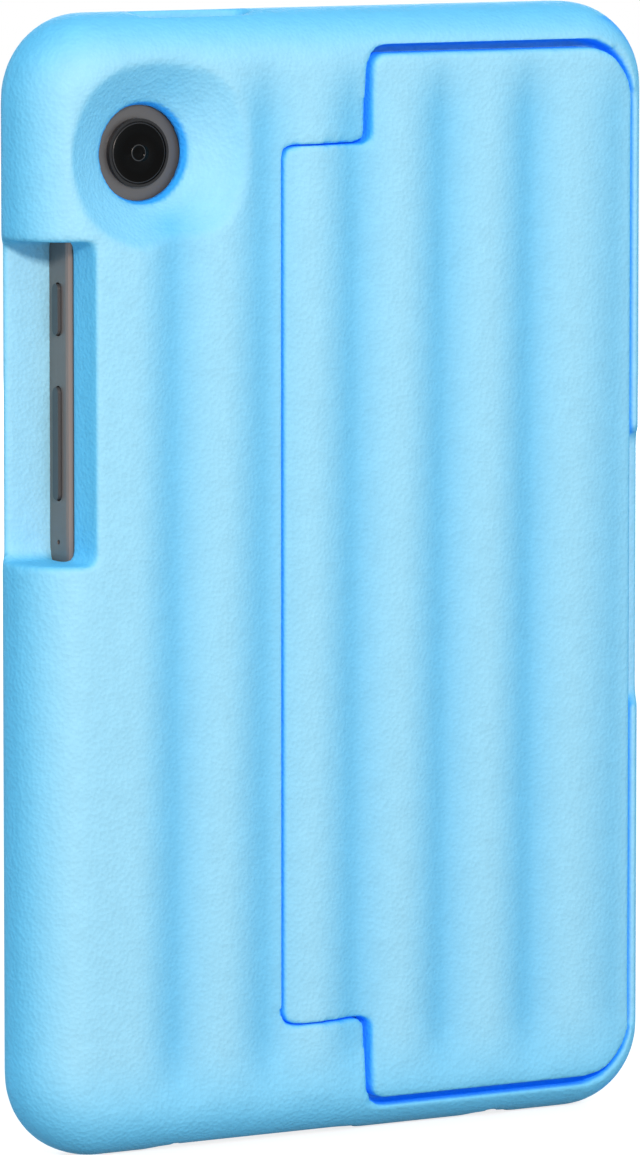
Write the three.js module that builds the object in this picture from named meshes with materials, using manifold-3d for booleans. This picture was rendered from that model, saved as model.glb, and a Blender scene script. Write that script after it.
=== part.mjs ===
// Padded foam cover for a small tablet, with the tablet in it.
// Millimetres, +Z up. The cover stands on its lower short edge, its padded back faces -Y,
// and the origin is at the middle of the bottom of its box.
import * as THREE from 'three';
import { mergeVertices } from 'three/addons/utils/BufferGeometryUtils.js';
import Module from 'manifold-3d';

const wasm = await Module();
wasm.setup();

// Tablet
const tabletWidth = 124.7;
const tabletHeight = 211;
const tabletThickness = 8;
const tabletCorner = 12;
const tabletBackRounding = 1.5;
const housingWall = 1.7;
const housingBack = 1.1;
const glassThickness = 0.9;
const glassRim = 0.8;
const displayThickness = 1.9;
const displayMarginSide = 5;
const displayMarginEnd = 13;

// Foam cover, measured round the tablet
const padSide = 12.4;
const padEnd = 11.1;
const lipReach = 2.8;
const backPad = 10.7;
const coverCorner = 17.4;
const frontRounding = 6.5;
const backRoundingAcross = 12;
const sideStrip = 2.5;
const bottomTrim = 0.9;
const pocketClearance = 0.3;
const lipOverlap = 3.8;
const lipFlare = 2.6;

// Padded ribs on the back
const ribPitch = 21.4;
const ribDepth = 2.2;
const ribRows = 2;
const ribFadeStart = 88;
const ribFadeEnd = 103;
const ribLine = ribPitch / 6;
const ribLineDrawIn = 12;

// Camera dish, placed from the tablet's top corner
const cameraFromSide = 15.75;
const cameraFromTop = 17.4;
const cameraHoleRadius = 10.3;
const cameraHoleWall = 3;
const dishRadiusAcross = 21.7;
const dishRadiusUp = 19;
const dishDepth = 7.2;

// Cut-out over the keys
const keyCutBottom = 122.2;
const keyCutTop = 187.6;
const keyCutFloor = 3.9;
const keyCutCorner = 2.6;

// Stand flap and the recess it folds into
const flapFloor = 2.8;
const flapRootWidth = 18.2;
const flapRootHalfHeight = 90.2;
const flapRootDrop = 1;
const flapNeck = 1.5;
const flapRootCorner = 2.6;
const flapPanelWidth = 68.1;
const flapPanelHalfHeight = 109.9;
const flapInnerCorner = 4.8;
const flapOuterCorner = 14;
const flapGap = 1.8;
const flapSeam = 0.3;
const foldGap = 0.3;
const neckCorner = 2;

// Finger scoop in the rim beside the flap's free edge
const scoopLength = 56;
const scoopBelowMiddle = 2.9;
const scoopDepth = 7.8;
const scoopEndSlope = 3;

// Openings in the short edges, given as centre and width across the cover
const topSlotCentre = -33.7;
const topSlotWidth = 27.4;
const portSlotCentre = -20;
const portSlotWidth = 51;
const jackCentre = 37.5;
const jackSlotWidth = 11;
const slotInnerDepth = 5.4;
const slotMouthFront = 4.2;
const slotMouthBack = 8;
const slotEndSlope = 2;

// Keys and microphone on the tablet's side
const keyWidth = 2.2;
const keyBehindMiddle = -0.6;
const keyProud = 0.7;
const keyTravel = 0.3;
const keyClearance = 0.3;
const keyFlange = 0.8;
const keyFlangeThickness = 0.8;
const keyStopGap = 0.4;
const powerKeyLength = 10.4;
const powerKeyCentre = 173.2;
const volumeKeyLength = 22.9;
const volumeKeyCentre = 145.9;
const microphoneHeight = 125.8;
const microphoneRadius = 0.5;

// Rear camera
const cameraRingRadius = 7;
const cameraRingHeight = 1.2;
const cameraRingWall = 0.55;
const cameraRingLedge = 1.4;
const cameraGlassThickness = 0.6;
const cameraBarrelRadius = 4;
const cameraBlockSize = 12;
const cameraBlockDepth = 3.2;
const fitClearance = 0.2;

// Ports and the parts inside the tablet
const usbWidth = 9;
const usbHeight = 3.3;
const usbDepth = 7.4;
const usbWall = 0.45;
const usbTongueWidth = 6.6;
const usbTongueThickness = 0.7;
const usbTongueBack = 1;
const jackRadius = 2.7;
const jackBore = 1.8;
const jackDepth = 10;
const jackEndWall = 1;
const grilleHoles = 5;
const grillePitch = 4.4;
const grilleHoleLength = 2.8;
const grilleHoleWidth = 1;
const boardThickness = 1;
const batteryWidth = 104;
const batteryThickness = 3;
const batteryGap = 4;
const mainBoardHeight = 36;
const boardFromCamera = 7;
const shieldWidth = 46;
const shieldHeight = 26;
const shieldThickness = 1.7;
const subBoardWidth = 62;
const subBoardHeight = 16;
const speakerWidth = 26;
const speakerHeight = 8;
const speakerThickness = 3;
const frontCameraRadius = 2.4;
const frontCameraDepth = 3;
const innerGap = 1;

// Places that follow from the sizes above
const coverWidth = tabletWidth + 2 * padSide;
const coverHeight = tabletHeight + 2 * padEnd;
const frontReach = tabletThickness / 2 + lipReach;
const backReach = tabletThickness / 2 + backPad;
const tabletPlane = (backReach - frontReach) / 2;
const middleHeight = coverHeight / 2;
const tabletFront = -tabletThickness / 2;
const tabletBack = tabletThickness / 2;
const tabletLeft = -tabletWidth / 2;
const tabletBottom = middleHeight - tabletHeight / 2;
const tabletTop = middleHeight + tabletHeight / 2;
const cavityFront = tabletFront + glassThickness;
const cavityBack = tabletBack - housingBack;
const cameraX = tabletLeft + cameraFromSide;
const cameraZ = tabletTop - cameraFromTop;
const dishRim = tabletBack + cameraHoleWall;
const flapFloorDepth = tabletBack + flapFloor;
const flapBackDepth = flapFloorDepth + flapSeam;
const bottomSpeakerX = portSlotCentre - portSlotWidth / 2 + slotEndSlope + speakerWidth / 2;
const beyond = 12;
const foam = new THREE.MeshStandardMaterial({ color: 0x86cdee, roughness: 0.85, metalness: 0 });
const graphite = new THREE.MeshStandardMaterial({ color: 0x5a5c5f, roughness: 0.45, metalness: 0.7 });
const blackGlass = new THREE.MeshStandardMaterial({ color: 0x050506, roughness: 0.08, metalness: 0 });
const darkPlastic = new THREE.MeshStandardMaterial({ color: 0x232427, roughness: 0.6, metalness: 0 });
const steel = new THREE.MeshStandardMaterial({ color: 0xa9abae, roughness: 0.35, metalness: 0.9 });
const board = new THREE.MeshStandardMaterial({ color: 0x1d4a34, roughness: 0.6, metalness: 0 });

// A closed geometry with shared corners becomes a solid that can be cut and joined
function solid(geometry) {
  geometry.deleteAttribute('normal');
  geometry.deleteAttribute('uv');
  const merged = mergeVertices(geometry, 1e-4);
  return new wasm.Manifold(new wasm.Mesh({
    numProp: 3,
    vertProperties: new Float32Array(merged.attributes.position.array),
    triVerts: new Uint32Array(merged.index.array),
  }));
}

function geometryOf(manifold) {
  const mesh = manifold.getMesh();
  const geometry = new THREE.BufferGeometry();
  geometry.setAttribute('position', new THREE.BufferAttribute(new Float32Array(mesh.vertProperties), 3));
  geometry.setIndex(new THREE.BufferAttribute(new Uint32Array(mesh.triVerts), 1));
  geometry.computeVertexNormals();
  return geometry;
}

// Depth runs from the tablet's middle plane towards the padded back
function slab(shape, depthFrom, depthTo) {
  const geometry = new THREE.ExtrudeGeometry(shape, {
    depth: depthTo - depthFrom,
    bevelEnabled: false,
    curveSegments: 8,
  });
  geometry.rotateX(Math.PI / 2);
  geometry.translate(0, tabletPlane - depthFrom, 0);
  return solid(geometry);
}

// A block between two corners, each given as across, depth, height
function block(from, to) {
  const size = [0, 1, 2].map((axis) => Math.abs(to[axis] - from[axis]));
  const geometry = new THREE.BoxGeometry(size[0], size[1], size[2]);
  geometry.translate(
    (from[0] + to[0]) / 2,
    tabletPlane - (from[1] + to[1]) / 2,
    (from[2] + to[2]) / 2,
  );
  return solid(geometry);
}

// A round bar whose axis runs along the depth
function disc(x, z, radius, depthFrom, depthTo) {
  const geometry = new THREE.CylinderGeometry(radius, radius, depthTo - depthFrom, 40);
  geometry.translate(x, tabletPlane - (depthFrom + depthTo) / 2, z);
  return solid(geometry);
}

function loopShape(points) {
  return new THREE.Shape(points.map(([x, z]) => new THREE.Vector2(x, z)));
}

// Points round a rectangle with round corners, the same number for every size
function roundedLoop(halfWidth, halfHeight, radius, centre = [0, middleHeight], steps = [1, 1, 6]) {
  const [acrossSteps, upSteps, cornerSteps] = steps;
  const round = Math.min(radius, halfWidth, halfHeight);
  const points = [];
  for (const [quarter, sx, sz] of [[0, 1, 1], [1, -1, 1], [2, -1, -1], [3, 1, -1]]) {
    const cx = sx * (halfWidth - round);
    const cz = sz * (halfHeight - round);
    for (let i = 0; i <= cornerSteps; i += 1) {
      const angle = (quarter + i / cornerSteps) * Math.PI / 2;
      points.push([centre[0] + cx + round * Math.cos(angle), centre[1] + cz + round * Math.sin(angle)]);
    }
    const alongX = quarter % 2 === 0;
    const sideSteps = alongX ? acrossSteps : upSteps;
    const reach = alongX ? -2 * cx : -2 * cz;
    const [startX, startZ] = points[points.length - 1];
    for (let i = 1; i < sideSteps; i += 1) {
      const way = reach * i / sideSteps;
      points.push(alongX ? [startX + way, startZ] : [startX, startZ + way]);
    }
  }
  return points;
}

// A solid through a row of loops, each a list of [across, depth, height]
function loft(loops) {
  const count = loops[0].length;
  const positions = loops.flat().flatMap(([x, depth, z]) => [x, tabletPlane - depth, z]);
  const faces = [];
  for (let ring = 0; ring < loops.length - 1; ring += 1) {
    for (let i = 0; i < count; i += 1) {
      const a = ring * count + i;
      const b = ring * count + (i + 1) % count;
      faces.push([a, b, a + count], [b, b + count, a + count]);
    }
  }
  const flat = (loop) => {
    const spans = [0, 1, 2].map((axis) => {
      const values = loop.map((point) => point[axis]);
      return Math.max(...values) - Math.min(...values);
    });
    const [u, v] = [0, 1, 2].filter((axis) => axis !== spans.indexOf(Math.min(...spans)));
    return THREE.ShapeUtils.triangulateShape(loop.map((point) => new THREE.Vector2(point[u], point[v])), []);
  };
  const last = (loops.length - 1) * count;
  const edges = new Set(faces.flatMap(([a, b, c]) => [`${a},${b}`, `${b},${c}`, `${c},${a}`]));
  const cap = (loop, offset) => {
    const triangles = flat(loop).map((face) => face.map((i) => i + offset));
    const [a, b] = [offset, offset + 1];
    const runsAlong = triangles.some((face) => face.some((i, k) => i === a && face[(k + 1) % 3] === b));
    return runsAlong === edges.has(`${a},${b}`) ? triangles.map(([p, q, r]) => [p, r, q]) : triangles;
  };
  faces.push(...cap(loops[0], 0), ...cap(loops[loops.length - 1], last));
  const at = (i) => new THREE.Vector3().fromArray(positions, 3 * i);
  const volume = faces.reduce((sum, [a, b, c]) => sum + at(a).dot(at(b).cross(at(c))), 0);
  const geometry = new THREE.BufferGeometry();
  geometry.setAttribute('position', new THREE.Float32BufferAttribute(positions, 3));
  geometry.setIndex((volume < 0 ? faces.map(([a, b, c]) => [a, c, b]) : faces).flat());
  return solid(geometry);
}

const atDepth = (points, depth) => points.map(([x, z]) => [x, depth, z]);
const atHeight = (points, height) => points.map(([x, depth]) => [x, depth, height]);
const smooth = (value) => value * value * (3 - 2 * value);

// Cover

// How far the back drops below its ridges: round lobes that meet in soft valleys
function ribDrop(x, z) {
  const lobes = x / ribPitch;
  if (Math.abs(lobes) > ribRows + 0.5) {
    return 0;
  }
  const fromMiddle = Math.abs(z - middleHeight);
  const fade = THREE.MathUtils.clamp((ribFadeEnd - fromMiddle) / (ribFadeEnd - ribFadeStart), 0, 1);
  return ribDepth * (1 - Math.abs(Math.sin(Math.PI * lobes))) * smooth(fade);
}

// The whole padded form before anything is cut out of it
function outerForm() {
  const steps = [22, 8, 5];
  const halfHeight = coverHeight / 2 + bottomTrim / 2;
  const centre = [0, middleHeight - bottomTrim / 2];
  const ring = (inset, depthAt) => {
    const radius = Math.max(coverCorner - inset, 1);
    const loop = roundedLoop(coverWidth / 2 - inset, halfHeight - inset, radius, centre, steps);
    return loop.map(([x, z]) => [x, depthAt(x, z), z]);
  };
  const rings = [];
  for (let i = 0; i <= 4; i += 1) {
    const angle = (1 - i / 4) * Math.PI / 2;
    const depth = -frontReach + frontRounding * (1 - Math.sin(angle));
    rings.push(ring(frontRounding * (1 - Math.cos(angle)), () => depth));
  }
  const backStart = -frontReach + frontRounding + sideStrip;
  for (let i = 0; i <= 6; i += 1) {
    const angle = i / 6 * Math.PI / 2;
    const depth = backStart + (backReach - backStart) * Math.sin(angle);
    rings.push(ring(backRoundingAcross * (1 - Math.cos(angle)), (x, z) => depth - ribDrop(x, z)));
  }
  const flatWidth = coverWidth / 2 - backRoundingAcross;
  const flatHeight = halfHeight - backRoundingAcross;
  const lines = Math.floor(flatWidth / ribLine);
  for (let line = lines; line >= 1; line -= 1) {
    const inward = (lines + 1 - line) / lines;
    const loop = roundedLoop((line - 0.5) * ribLine, flatHeight - ribLineDrawIn * inward, 1, centre, steps);
    rings.push(loop.map(([x, z]) => [x, backReach - ribDrop(x, z), z]));
  }
  const floor = block([-coverWidth, -backReach * 2, -beyond], [coverWidth, backReach * 2, 0]);
  return loft(rings).subtract(floor);
}

function tabletPocket() {
  const loop = roundedLoop(
    tabletWidth / 2 + pocketClearance,
    tabletHeight / 2 + pocketClearance,
    tabletCorner + pocketClearance,
  );
  return slab(loopShape(loop), tabletFront - pocketClearance, tabletBack + pocketClearance);
}

// The screen's window, flared towards the front
function screenWindow() {
  const outline = (grow) => roundedLoop(
    tabletWidth / 2 - lipOverlap + grow,
    tabletHeight / 2 - lipOverlap + grow,
    tabletCorner - lipOverlap + grow,
  );
  const lipInner = tabletFront - pocketClearance;
  const flareRun = -lipInner - -frontReach;
  return loft([
    atDepth(outline(0), lipInner + pocketClearance),
    atDepth(outline(0), lipInner),
    atDepth(outline(lipFlare * (1 + beyond / flareRun)), -frontReach - beyond),
  ]);
}

// Straight hole over the camera, opening into a wide shallow cone
function cameraDish() {
  const ellipse = (across, up) => {
    const curve = new THREE.EllipseCurve(cameraX, cameraZ, across, up, 0, 2 * Math.PI);
    return curve.getPoints(48).slice(0, 48).map((point) => [point.x, point.y]);
  };
  const past = 1 + beyond / dishDepth;
  return loft([
    atDepth(ellipse(cameraHoleRadius, cameraHoleRadius), tabletBack),
    atDepth(ellipse(cameraHoleRadius, cameraHoleRadius), dishRim),
    atDepth(ellipse(
      cameraHoleRadius + (dishRadiusAcross - cameraHoleRadius) * past,
      cameraHoleRadius + (dishRadiusUp - cameraHoleRadius) * past,
    ), dishRim + dishDepth + beyond),
  ]);
}

// Step cut out of the left edge, open to the side and to the back, with round inner corners
function keyCutOut() {
  const inside = tabletLeft + pocketClearance;
  const outside = -coverWidth / 2 - beyond;
  const across = (backReach + beyond + keyCutFloor) / 2;
  const loop = roundedLoop(
    across,
    (keyCutTop - keyCutBottom) / 2,
    keyCutCorner,
    [across - keyCutFloor, (keyCutTop + keyCutBottom) / 2],
  );
  return loft([inside, outside].map((x) => loop.map(([depth, z]) => [x, depth, z])));
}

// Outline of the stand flap, drawn in by a seam round its narrow root on the left
// and by a gap round the wide panel right of the fold
function flapShape(seam, gap) {
  const shape = new THREE.Shape();
  const left = -flapRootWidth + seam;
  const neck = flapNeck + gap;
  const right = flapPanelWidth - gap;
  const root = flapRootHalfHeight - seam;
  const panel = flapPanelHalfHeight - gap;
  const inner = flapInnerCorner - gap;
  const outer = flapOuterCorner - gap;
  const quarter = Math.PI / 2;
  const mid = middleHeight;
  const rootMid = middleHeight - flapRootDrop;
  shape.absarc(left + flapRootCorner, rootMid - root + flapRootCorner, flapRootCorner, 2 * quarter, 3 * quarter);
  shape.absarc(neck - neckCorner, rootMid - root - neckCorner, neckCorner, quarter, 0, true);
  shape.absarc(neck + inner, mid - panel + inner, inner, 2 * quarter, 3 * quarter);
  shape.absarc(right - outer, mid - panel + outer, outer, 3 * quarter, 4 * quarter);
  shape.absarc(right - outer, mid + panel - outer, outer, 0, quarter);
  shape.absarc(neck + inner, mid + panel - inner, inner, quarter, 2 * quarter);
  shape.absarc(neck - neckCorner, rootMid + root + neckCorner, neckCorner, 4 * quarter, 3 * quarter, true);
  shape.absarc(left + flapRootCorner, rootMid + root - flapRootCorner, flapRootCorner, quarter, 2 * quarter);
  return shape;
}

function fingerScoop() {
  const centre = middleHeight - scoopBelowMiddle;
  const floor = backReach - scoopDepth;
  const from = flapPanelWidth - flapGap / 2;
  const to = coverWidth / 2 + beyond;
  const section = (x) => [
    [x, floor, centre - scoopLength / 2 + scoopEndSlope],
    [x, floor, centre + scoopLength / 2 - scoopEndSlope],
    [x, backReach + beyond, centre + scoopLength / 2 + scoopEndSlope],
    [x, backReach + beyond, centre - scoopLength / 2 - scoopEndSlope],
  ];
  return loft([section(from), section(to)]);
}

// Funnel through a short edge: narrow at the tablet, wide at the outside
function edgeFunnel(centreX, width, fromZ, toZ) {
  const round = slotInnerDepth / 2;
  const inner = roundedLoop(width / 2 - slotEndSlope, slotInnerDepth / 2, round, [centreX, 0]);
  const mouthDepth = (slotMouthFront + slotMouthBack) / 2;
  const mouthMiddle = (slotMouthBack - slotMouthFront) / 2;
  const mouthRound = Math.min(mouthDepth, width / 2);
  const mouth = roundedLoop(width / 2, mouthDepth, mouthRound, [centreX, mouthMiddle]);
  const past = fromZ + (toZ - fromZ) * 1.1;
  return loft([
    atHeight(inner, fromZ - Math.sign(toZ - fromZ) * pocketClearance * 2),
    atHeight(inner, fromZ),
    atHeight(mouth, past),
  ]);
}

const flapCutter = (seam, gap, depth) => slab(flapShape(seam, gap), depth, backReach + beyond);

function coverBody(form) {
  const tabletSlots = [
    edgeFunnel(topSlotCentre, topSlotWidth, tabletTop, coverHeight),
    edgeFunnel(portSlotCentre, portSlotWidth, tabletBottom, 0),
    edgeFunnel(jackCentre, jackSlotWidth, tabletBottom, 0),
  ];
  const cuts = [
    tabletPocket(),
    screenWindow(),
    cameraDish(),
    keyCutOut(),
    flapCutter(0, 0, flapFloorDepth),
    fingerScoop(),
    ...tabletSlots,
  ];
  return cuts.reduce((left, cut) => left.subtract(cut), form);
}

// The root is glued in its recess, and the panel turns about the fold on the outer skin
function flapPart(form, xFrom, xTo) {
  const span = block([xFrom, 0, -beyond], [xTo, backReach + beyond, coverHeight + beyond]);
  return flapCutter(flapSeam, flapGap, flapBackDepth).intersect(form).intersect(span);
}

// Tablet

function tabletLoop(inset) {
  return roundedLoop(tabletWidth / 2 - inset, tabletHeight / 2 - inset, tabletCorner - inset);
}

// A bar with round ends along the height, its length running across the wall
function keyBar(length, width, centreZ, xFrom, xTo) {
  const loop = roundedLoop(width / 2, length / 2, width / 2, [keyBehindMiddle, centreZ]);
  return loft([xFrom, xTo].map((x) => loop.map(([depth, z]) => [x, depth, z])));
}

function housing() {
  const rounding = [];
  for (let i = 0; i <= 3; i += 1) {
    const angle = i / 3 * Math.PI / 2;
    const depth = tabletBack - tabletBackRounding * (1 - Math.sin(angle));
    rounding.push(atDepth(tabletLoop(tabletBackRounding * (1 - Math.cos(angle))), depth));
  }
  const shell = loft([atDepth(tabletLoop(0), tabletFront), ...rounding]);
  const glassSeat = slab(loopShape(tabletLoop(glassRim)), tabletFront - beyond, cavityFront);
  const cavity = slab(loopShape(tabletLoop(housingWall)), tabletFront, cavityBack);
  const keySlots = [[powerKeyLength, powerKeyCentre], [volumeKeyLength, volumeKeyCentre]].map(
    ([length, centre]) => keyBar(
      length + 2 * keyClearance,
      keyWidth + 2 * keyClearance,
      centre,
      tabletLeft - beyond,
      tabletLeft + housingWall + keyClearance,
    ),
  );
  const microphone = keyBar(
    2 * microphoneRadius,
    2 * microphoneRadius,
    microphoneHeight,
    tabletLeft - beyond,
    tabletLeft + housingWall + keyClearance,
  );
  const cameraHole = disc(cameraX, cameraZ, cameraBarrelRadius + keyClearance, 0, tabletBack + beyond);
  const edgeHole = (loop, z) => loft(
    [z - housingWall * 2, z + housingWall * 2].map((height) => atHeight(loop, height)),
  );
  const usbHole = edgeHole(usbLoop(fitClearance), tabletBottom);
  const jackHole = edgeHole(roundedLoop(jackBore, jackBore, jackBore, [jackCentre, 0]), tabletBottom);
  const grilleLoop = (centreX) => roundedLoop(
    grilleHoleLength / 2,
    grilleHoleWidth / 2,
    grilleHoleWidth / 2,
    [centreX, 0],
  );
  const grilles = [[topSlotCentre, tabletTop], [bottomSpeakerX, tabletBottom]].flatMap(([centreX, z]) => {
    const first = centreX - grillePitch * (grilleHoles - 1) / 2;
    const centres = Array.from({ length: grilleHoles }, (_, hole) => first + hole * grillePitch);
    return centres.map((holeX) => edgeHole(grilleLoop(holeX), z));
  });
  const cuts = [glassSeat, cavity, ...keySlots, microphone, cameraHole, usbHole, jackHole, ...grilles];
  return cuts.reduce((left, cut) => left.subtract(cut), shell);
}

function key(length, centreZ) {
  const flangeFrom = tabletLeft + housingWall + keyStopGap;
  const cap = keyBar(length, keyWidth, centreZ, tabletLeft - keyProud, flangeFrom + keyFlangeThickness);
  const flange = keyBar(
    length + 2 * keyFlange,
    keyWidth + 2 * keyFlange,
    centreZ,
    flangeFrom,
    flangeFrom + keyFlangeThickness,
  );
  return cap.add(flange);
}

function frontGlass() {
  return slab(loopShape(tabletLoop(glassRim + fitClearance)), tabletFront, cavityFront);
}

function displayPanel() {
  return block(
    [tabletLeft + displayMarginSide, cavityFront, tabletBottom + displayMarginEnd],
    [-tabletLeft - displayMarginSide, cavityFront + displayThickness, tabletTop - displayMarginEnd],
  );
}

function cameraRing() {
  const seat = tabletBack;
  const inner = cameraRingRadius - cameraRingWall;
  const ledge = seat + cameraRingHeight - cameraGlassThickness;
  return disc(cameraX, cameraZ, cameraRingRadius, seat, seat + cameraRingHeight)
    .subtract(disc(cameraX, cameraZ, inner, ledge, seat + beyond))
    .subtract(disc(cameraX, cameraZ, inner - cameraRingLedge, seat - beyond, seat + beyond));
}

function cameraGlass() {
  const top = tabletBack + cameraRingHeight;
  return disc(
    cameraX,
    cameraZ,
    cameraRingRadius - cameraRingWall - fitClearance,
    top - cameraGlassThickness,
    top,
  );
}

// Sensor block inside the shell, with its lens barrel standing up through the hole
function cameraModule() {
  const half = cameraBlockSize / 2;
  const barrelTop = tabletBack + cameraRingHeight - cameraGlassThickness;
  return block(
    [cameraX - half, cavityBack - cameraBlockDepth, cameraZ - half],
    [cameraX + half, cavityBack, cameraZ + half],
  ).add(disc(cameraX, cameraZ, cameraBarrelRadius, cavityBack - cameraBlockDepth, barrelTop));
}

function usbLoop(grow) {
  return roundedLoop(usbWidth / 2 + grow, usbHeight / 2 + grow, usbHeight / 2 + grow, [0, 0]);
}

function usbPort() {
  const from = tabletBottom + fitClearance;
  const tube = (loop, start, end) => loft([start, end].map((height) => atHeight(loop, height)));
  const shell = tube(usbLoop(0), from, from + usbDepth);
  const mouth = tube(usbLoop(-usbWall), from - beyond, from + usbDepth - usbWall);
  const tongue = block(
    [-usbTongueWidth / 2, -usbTongueThickness / 2, from + usbTongueBack],
    [usbTongueWidth / 2, usbTongueThickness / 2, from + usbDepth - usbWall / 2],
  );
  return shell.subtract(mouth).add(tongue);
}

function headphoneJack() {
  const from = tabletBottom + housingWall + fitClearance;
  const bar = (radius, start, end) => {
    const geometry = new THREE.CylinderGeometry(radius, radius, end - start, 32);
    geometry.rotateX(Math.PI / 2);
    geometry.translate(jackCentre, tabletPlane, (start + end) / 2);
    return solid(geometry);
  };
  return bar(jackRadius, from, from + jackDepth)
    .subtract(bar(jackBore, from - beyond, from + jackDepth - jackEndWall));
}

// A flat box lying on the shell's inner face
function onShell(centreX, centreZ, width, height, thickness, lift = 0) {
  return block(
    [centreX - width / 2, cavityBack - lift - thickness, centreZ - height / 2],
    [centreX + width / 2, cavityBack - lift, centreZ + height / 2],
  );
}

const cavityTop = tabletTop - housingWall - fitClearance;
const cavityBottom = tabletBottom + housingWall + fitClearance;
const cavityRight = -tabletLeft - housingWall - fitClearance;
const mainBoardLeft = cameraX + cameraBlockSize / 2 + boardFromCamera;
const mainBoardRight = cavityRight - tabletCorner / 2;
const mainBoardWidth = mainBoardRight - mainBoardLeft;
const mainBoardX = (mainBoardLeft + mainBoardRight) / 2;
const mainBoardZ = cavityTop - speakerHeight - mainBoardHeight / 2 - innerGap;
const subBoardX = usbWidth / 2;
const subBoardZ = cavityBottom + jackDepth + subBoardHeight / 2 + innerGap;
const batteryTop = mainBoardZ - mainBoardHeight / 2 - batteryGap;
const batteryBottom = subBoardZ + subBoardHeight / 2 + batteryGap;
const batteryHeight = batteryTop - batteryBottom;
const batteryZ = (batteryTop + batteryBottom) / 2;

const form = outerForm();
const parts = [
  ['case_body', coverBody(form), foam],
  ['stand_root', flapPart(form, -flapRootWidth - 1, -foldGap / 2), foam],
  ['stand_panel', flapPart(form, foldGap / 2, flapPanelWidth + 1), foam],
  ['tablet_housing', housing(), graphite],
  ['front_glass', frontGlass(), blackGlass],
  ['display_panel', displayPanel(), darkPlastic],
  ['power_key', key(powerKeyLength, powerKeyCentre), graphite],
  ['volume_key', key(volumeKeyLength, volumeKeyCentre), graphite],
  ['camera_ring', cameraRing(), graphite],
  ['camera_glass', cameraGlass(), blackGlass],
  ['camera_module', cameraModule(), darkPlastic],
  ['usb_c_port', usbPort(), steel],
  ['headphone_jack', headphoneJack(), darkPlastic],
  ['battery', onShell(0, batteryZ, batteryWidth, batteryHeight, batteryThickness), darkPlastic],
  ['main_board', onShell(mainBoardX, mainBoardZ, mainBoardWidth, mainBoardHeight, boardThickness), board],
  ['shield_can', onShell(mainBoardX, mainBoardZ, shieldWidth, shieldHeight, shieldThickness,
    boardThickness), steel],
  ['port_board', onShell(subBoardX, subBoardZ, subBoardWidth, subBoardHeight, boardThickness), board],
  ['top_speaker', onShell(topSlotCentre, cavityTop - speakerHeight / 2, speakerWidth, speakerHeight,
    speakerThickness), darkPlastic],
  ['bottom_speaker', onShell(bottomSpeakerX, cavityBottom + speakerHeight / 2, speakerWidth,
    speakerHeight, speakerThickness), darkPlastic],
  ['front_camera', disc(0, cavityTop - frontCameraRadius - innerGap, frontCameraRadius, cavityFront,
    cavityFront + frontCameraDepth), darkPlastic],
];

const model = new THREE.Group();
for (const [name, manifold, material] of parts) {
  const mesh = new THREE.Mesh(geometryOf(manifold), material);
  mesh.name = name;
  model.add(mesh);
}

export default model;
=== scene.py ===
# Padded foam cover for a small tablet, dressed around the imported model.
# Sizes are in millimetres here and in metres in the meshes. "Depth" runs from the tablet's
# middle plane towards the padded back, which faces -Y, and heights run up from the bottom edge.
import math

import bmesh
import bpy
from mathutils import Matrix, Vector


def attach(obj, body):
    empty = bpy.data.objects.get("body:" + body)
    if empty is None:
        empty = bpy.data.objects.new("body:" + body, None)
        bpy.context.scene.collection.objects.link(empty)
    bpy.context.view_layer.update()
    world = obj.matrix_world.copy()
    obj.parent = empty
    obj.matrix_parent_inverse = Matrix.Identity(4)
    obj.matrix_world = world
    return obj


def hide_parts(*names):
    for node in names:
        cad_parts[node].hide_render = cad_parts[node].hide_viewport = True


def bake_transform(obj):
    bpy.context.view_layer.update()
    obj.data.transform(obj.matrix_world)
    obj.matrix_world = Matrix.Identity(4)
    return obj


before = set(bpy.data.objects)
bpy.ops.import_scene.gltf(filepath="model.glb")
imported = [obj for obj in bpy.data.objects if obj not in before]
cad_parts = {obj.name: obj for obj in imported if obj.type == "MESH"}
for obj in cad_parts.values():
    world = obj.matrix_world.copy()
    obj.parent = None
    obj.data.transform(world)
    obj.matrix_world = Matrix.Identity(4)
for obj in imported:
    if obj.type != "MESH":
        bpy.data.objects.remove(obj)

bl_info = {
    "name": "Padded tablet cover",
    "version": (1, 0, 0),
    "blender": (4, 5, 0),
    "location": "View3D > Sidebar > Tablet Cover",
    "description": "Models a ribbed foam cover with its stand flap, and finishes the tablet in it",
    "category": "Object",
}

MM = 0.001

# Cover
COVER_WIDTH = 149.5
COVER_HEIGHT = 233.2
FRONT_REACH = 6.8
BACK_REACH = 14.7
COVER_CORNER = 17.4
FRONT_ROUNDING = 6.5
BACK_ROUNDING_ACROSS = 12.0
SIDE_STRIP = 2.5
BOTTOM_TRIM = 0.2
POCKET_CLEARANCE = 0.3
LIP_OVERLAP = 3.8
LIP_FLARE = 2.6
RIB_PITCH = 21.4
RIB_DEPTH = 2.2
RIB_ROWS = 2
RIB_FADE_START = 92.0
RIB_FADE_END = 112.0
VALLEY_SOFTNESS = 0.11
LAST_FALL = 0.6
RIM_START = 71.0
GAP_FADE = 2.4
TOP_STRIP = 12.0
FOOT_STRIP = 24.0
# Way the painted light comes from: foam turned towards it keeps its pale colour, foam turned away gets
# painted shade.
PAINTED_LIGHT_WAY = (-0.25, -0.8, 0.12)

# Tablet
TABLET_WIDTH = 124.7
TABLET_HEIGHT = 211.0
TABLET_THICKNESS = 8.0
TABLET_CORNER = 12.0

# Camera dish and cut-out over the keys
CAMERA_X = -46.6
CAMERA_Z = 204.7
HOLE_RADIUS = 10.4
HOLE_WALL = 3.0
HOLE_DRAFT = 0.9
DISH_ACROSS = 21.7
DISH_UP = 19.0
DISH_DEPTH = 7.2
LENS_RADIUS = 6.25
LENS_RISE = 1.2
KEY_CUT_BOTTOM = 122.2
KEY_CUT_TOP = 187.6
KEY_CUT_FLOOR = 3.9
KEY_CUT_CORNER = 2.6

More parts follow.
